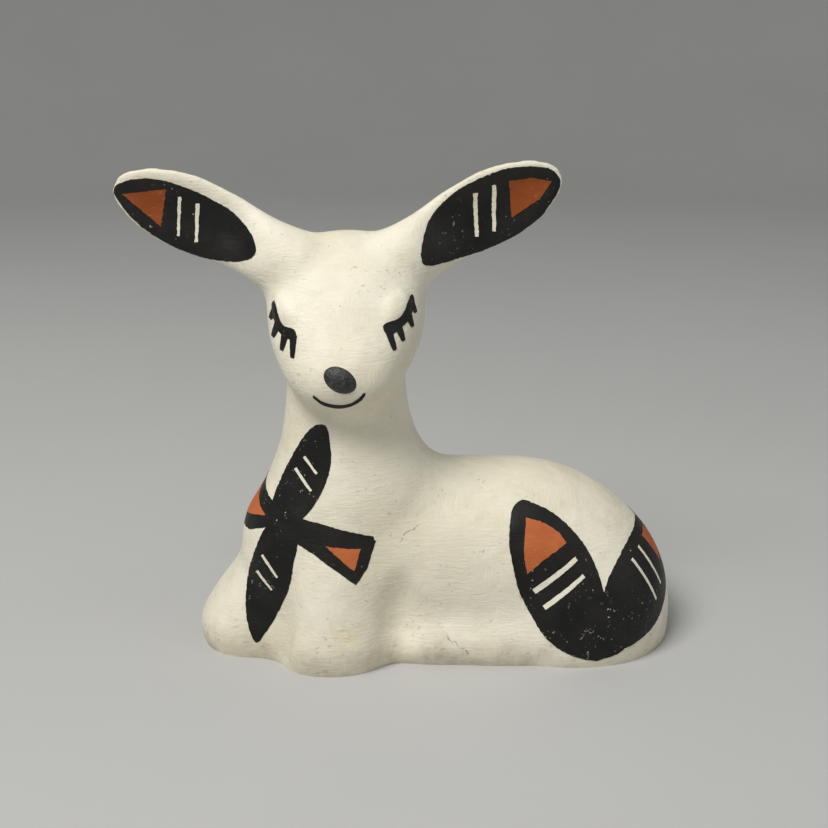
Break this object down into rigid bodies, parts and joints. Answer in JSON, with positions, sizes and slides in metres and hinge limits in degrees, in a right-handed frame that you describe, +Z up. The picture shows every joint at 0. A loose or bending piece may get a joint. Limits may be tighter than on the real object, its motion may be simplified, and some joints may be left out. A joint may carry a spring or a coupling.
{
  "type": "resting fawn pottery figure",
  "caption": "Small hand-modelled pottery fawn lying with folded legs, upright neck and wide leaf-shaped ears, white slip with black and orange painted motifs.",
  "frame": {"origin": "on the floor, under the middle of the figure's box", "axes": "+X from chest to rump, -Y the side that the face and the fawn's left flank look to, +Z up"},
  "size_m": [0.0763, 0.0321, 0.0662],
  "materials": {
    "white_slip": "matte white slip over fired clay, hand-wiped",
    "black_paint": "matte black mineral paint",
    "orange_paint": "matte burnt-orange clay paint"
  },
  "bodies": {
    "root": {"torso": "white_slip", "neck": "white_slip", "head": "white_slip", "nose": "black_paint", "ear_left": "white_slip", "ear_right": "white_slip", "eyelid_left": "white_slip", "eyelid_right": "white_slip", "foreleg_left": "white_slip", "foreleg_right": "white_slip", "hind_leg_left": "white_slip", "hind_leg_right": "white_slip"}
  },
  "joints": []
}
